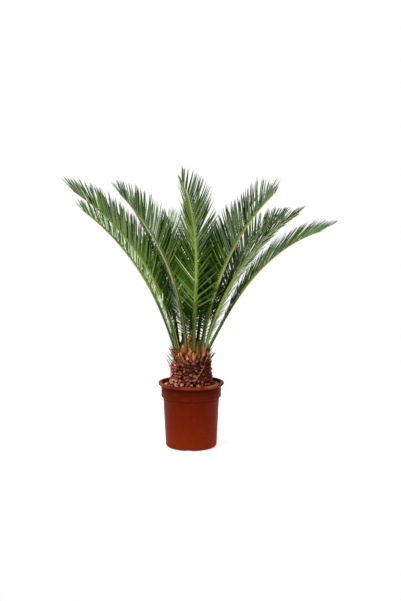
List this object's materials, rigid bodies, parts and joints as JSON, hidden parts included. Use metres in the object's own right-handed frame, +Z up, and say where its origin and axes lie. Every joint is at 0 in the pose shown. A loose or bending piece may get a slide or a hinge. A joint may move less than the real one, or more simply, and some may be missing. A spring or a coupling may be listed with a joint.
{
  "type": "potted sago palm",
  "caption": "Sago palm houseplant: a squat scaly caudex and a rosette of stiff arching feather fronds, in a round plastic nursery pot filled with compost and stones.",
  "frame": {"origin": "centre of the pot's flat underside", "axes": "+Z up the plant, +X to the viewer's right, -Y towards the viewer"},
  "size_m": [0.9483, 0.8331, 1.0022],
  "materials": {
    "pot_plastic": "red-brown moulded plastic, satin",
    "compost": "moist dark compost with pale stones",
    "caudex_bark": "rough purple-brown leaf bases with paler cut ends",
    "bud_wool": "orange-tan felted scales",
    "frond_green": "glossy dark green leaflets on a yellow-green rib"
  },
  "bodies": {
    "root": {"pot": "pot_plastic", "compost": "compost", "caudex": "caudex_bark", "bud": "bud_wool", "frond_01": "frond_green", "frond_02": "frond_green", "frond_03": "frond_green", "frond_04": "frond_green", "frond_05": "frond_green", "frond_06": "frond_green", "frond_07": "frond_green", "frond_08": "frond_green", "frond_09": "frond_green", "frond_10": "frond_green", "frond_11": "frond_green", "frond_12": "frond_green", "frond_13": "frond_green", "frond_14": "frond_green"}
  },
  "joints": []
}
